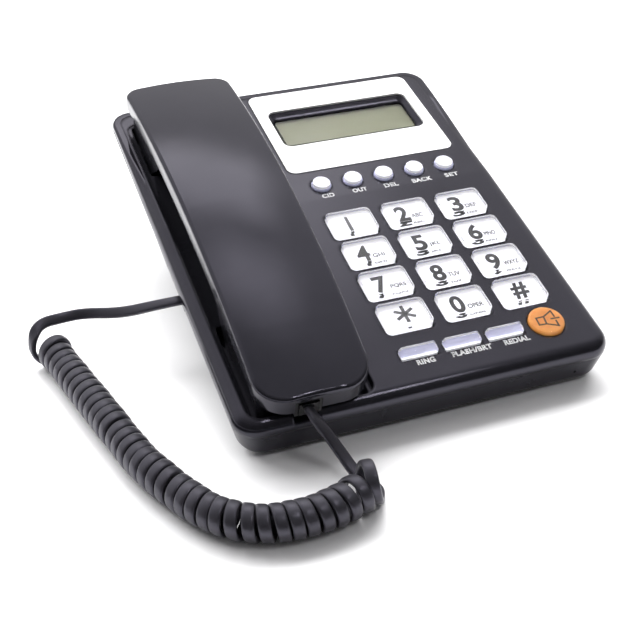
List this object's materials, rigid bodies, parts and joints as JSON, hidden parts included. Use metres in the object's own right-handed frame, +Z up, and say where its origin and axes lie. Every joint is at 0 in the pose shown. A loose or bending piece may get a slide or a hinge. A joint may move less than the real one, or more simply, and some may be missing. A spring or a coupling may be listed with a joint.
{
  "type": "corded landline phone",
  "caption": "Desk telephone with a sloping case, display, dial keys and an arched handset in a side cradle, joined to it by a coiled cord.",
  "frame": {"origin": "middle of the phone's footprint on the desk, under its rubber feet, measured without the cord", "axes": "+Z up, -Y towards the person who dials, +X to that person's right; the keypad slopes up towards +Y"},
  "size_m": [0.208, 0.2333, 0.0734],
  "materials": {
    "case": "gloss black injection-moulded plastic",
    "plate": "gloss white plastic",
    "window": "clear display window",
    "display": "grey-green liquid crystal panel",
    "key": "white key under a clear cap",
    "round_key": "white key with a pale violet rim",
    "orange_key": "translucent orange plastic",
    "board": "printed circuit board",
    "mat": "silicone key mat",
    "inner": "black moulded part",
    "socket": "black socket",
    "plug": "clear moulded plug",
    "cord": "black cord jacket",
    "steel": "plated steel",
    "cell": "cell jacket",
    "foot": "black rubber"
  },
  "bodies": {
    "base": {"upper_case": "case", "lower_case": "case", "face_plate": "plate", "display_window": "window", "display_module": "display", "display_board": "board", "display_mat": "mat", "key_mat": "mat", "key_board": "board", "main_board": "board", "hook_switch": "inner", "loudspeaker": "inner", "hands_free_microphone": "inner", "base_cord_socket": "socket", "line_socket": "socket", "cord_plug_base": "plug", "batteries": "cell", "battery_contacts": "steel", "case_screws": "steel", "key_board_screws": "steel", "display_board_screws": "steel", "main_board_screws": "steel", "rubber_feet": "foot", "cord_lead_base": "cord", "cord_coil": "cord", "cord_lead_handset": "cord"},
    "handset": {"handset_cover": "case", "handset_shell": "case", "receiver": "inner", "microphone": "inner", "handset_weight": "steel", "handset_screws": "steel", "handset_cord_socket": "socket", "cord_plug_handset": "plug"},
    "hook": {"hook_plunger": "inner"},
    "battery_door": {"battery_door": "case"},
    "key_1": {"key_1": "key"},
    "key_2": {"key_2": "key"},
    "key_3": {"key_3": "key"},
    "key_4": {"key_4": "key"},
    "key_5": {"key_5": "key"},
    "key_6": {"key_6": "key"},
    "key_7": {"key_7": "key"},
    "key_8": {"key_8": "key"},
    "key_9": {"key_9": "key"},
    "key_star": {"key_star": "key"},
    "key_0": {"key_0": "key"},
    "key_hash": {"key_hash": "key"},
    "key_ring": {"key_ring": "key"},
    "key_flash": {"key_flash": "key"},
    "key_redial": {"key_redial": "key"},
    "key_cid": {"key_cid": "round_key"},
    "key_out": {"key_out": "round_key"},
    "key_delete": {"key_delete": "round_key"},
    "key_back": {"key_back": "round_key"},
    "key_set": {"key_set": "round_key"},
    "key_hands_free": {"key_hands_free": "orange_key"}
  },
  "joints": [
    {"name": "handset_lift", "type": "slide", "parent": "base", "child": "handset", "axis": [0, -0.2317, 0.9728], "range_m": [0, 0.12]},
    {"name": "hook_rise", "type": "slide", "parent": "base", "child": "hook", "axis": [0, -0.2317, 0.9728], "range_m": [0, 0.004]},
    {"name": "battery_door_slide", "type": "slide", "parent": "base", "child": "battery_door", "axis": [0, 1, 0], "range_m": [0, 0.02]},
    {"name": "key_1_press", "type": "slide", "parent": "base", "child": "key_1", "axis": [0, 0.2317, -0.9728], "range_m": [0, 0.0015], "stiffness_N_per_m": 250, "springref_m": -0.001},
    {"name": "key_2_press", "type": "slide", "parent": "base", "child": "key_2", "axis": [0, 0.2317, -0.9728], "range_m": [0, 0.0015], "stiffness_N_per_m": 250, "springref_m": -0.001},
    {"name": "key_3_press", "type": "slide", "parent": "base", "child": "key_3", "axis": [0, 0.2317, -0.9728], "range_m": [0, 0.0015], "stiffness_N_per_m": 250, "springref_m": -0.001},
    {"name": "key_4_press", "type": "slide", "parent": "base", "child": "key_4", "axis": [0, 0.2317, -0.9728], "range_m": [0, 0.0015], "stiffness_N_per_m": 250, "springref_m": -0.001},
    {"name": "key_5_press", "type": "slide", "parent": "base", "child": "key_5", "axis": [0, 0.2317, -0.9728], "range_m": [0, 0.0015], "stiffness_N_per_m": 250, "springref_m": -0.001},
    {"name": "key_6_press", "type": "slide", "parent": "base", "child": "key_6", "axis": [0, 0.2317, -0.9728], "range_m": [0, 0.0015], "stiffness_N_per_m": 250, "springref_m": -0.001},
    {"name": "key_7_press", "type": "slide", "parent": "base", "child": "key_7", "axis": [0, 0.2317, -0.9728], "range_m": [0, 0.0015], "stiffness_N_per_m": 250, "springref_m": -0.001},
    {"name": "key_8_press", "type": "slide", "parent": "base", "child": "key_8", "axis": [0, 0.2317, -0.9728], "range_m": [0, 0.0015], "stiffness_N_per_m": 250, "springref_m": -0.001},
    {"name": "key_9_press", "type": "slide", "parent": "base", "child": "key_9", "axis": [0, 0.2317, -0.9728], "range_m": [0, 0.0015], "stiffness_N_per_m": 250, "springref_m": -0.001},
    {"name": "key_star_press", "type": "slide", "parent": "base", "child": "key_star", "axis": [0, 0.2317, -0.9728], "range_m": [0, 0.0015], "stiffness_N_per_m": 250, "springref_m": -0.001},
    {"name": "key_0_press", "type": "slide", "parent": "base", "child": "key_0", "axis": [0, 0.2317, -0.9728], "range_m": [0, 0.0015], "stiffness_N_per_m": 250, "springref_m": -0.001},
    {"name": "key_hash_press", "type": "slide", "parent": "base", "child": "key_hash", "axis": [0, 0.2317, -0.9728], "range_m": [0, 0.0015], "stiffness_N_per_m": 250, "springref_m": -0.001},
    {"name": "key_ring_press", "type": "slide", "parent": "base", "child": "key_ring", "axis": [0, 0.2317, -0.9728], "range_m": [0, 0.0015], "stiffness_N_per_m": 250, "springref_m": -0.001},
    {"name": "key_flash_press", "type": "slide", "parent": "base", "child": "key_flash", "axis": [0, 0.2317, -0.9728], "range_m": [0, 0.0015], "stiffness_N_per_m": 250, "springref_m": -0.001},
    {"name": "key_redial_press", "type": "slide", "parent": "base", "child": "key_redial", "axis": [0, 0.2317, -0.9728], "range_m": [0, 0.0015], "stiffness_N_per_m": 250, "springref_m": -0.001},
    {"name": "key_hands_free_press", "type": "slide", "parent": "base", "child": "key_hands_free", "axis": [0, 0.2317, -0.9728], "range_m": [0, 0.0015], "stiffness_N_per_m": 250, "springref_m": -0.001},
    {"name": "key_cid_press", "type": "slide", "parent": "base", "child": "key_cid", "axis": [0, 0.1959, -0.9806], "range_m": [0, 0.0015], "stiffness_N_per_m": 250, "springref_m": -0.001},
    {"name": "key_out_press", "type": "slide", "parent": "base", "child": "key_out", "axis": [0, 0.1959, -0.9806], "range_m": [0, 0.0015], "stiffness_N_per_m": 250, "springref_m": -0.001},
    {"name": "key_delete_press", "type": "slide", "parent": "base", "child": "key_delete", "axis": [0, 0.1959, -0.9806], "range_m": [0, 0.0015], "stiffness_N_per_m": 250, "springref_m": -0.001},
    {"name": "key_back_press", "type": "slide", "parent": "base", "child": "key_back", "axis": [0, 0.1959, -0.9806], "range_m": [0, 0.0015], "stiffness_N_per_m": 250, "springref_m": -0.001},
    {"name": "key_set_press", "type": "slide", "parent": "base", "child": "key_set", "axis": [0, 0.1959, -0.9806], "range_m": [0, 0.0015], "stiffness_N_per_m": 250, "springref_m": -0.001}
  ],
  "couplings": [
    {"joint": "hook_rise", "follows": "handset_lift", "ratio": 0.033333}
  ]
}
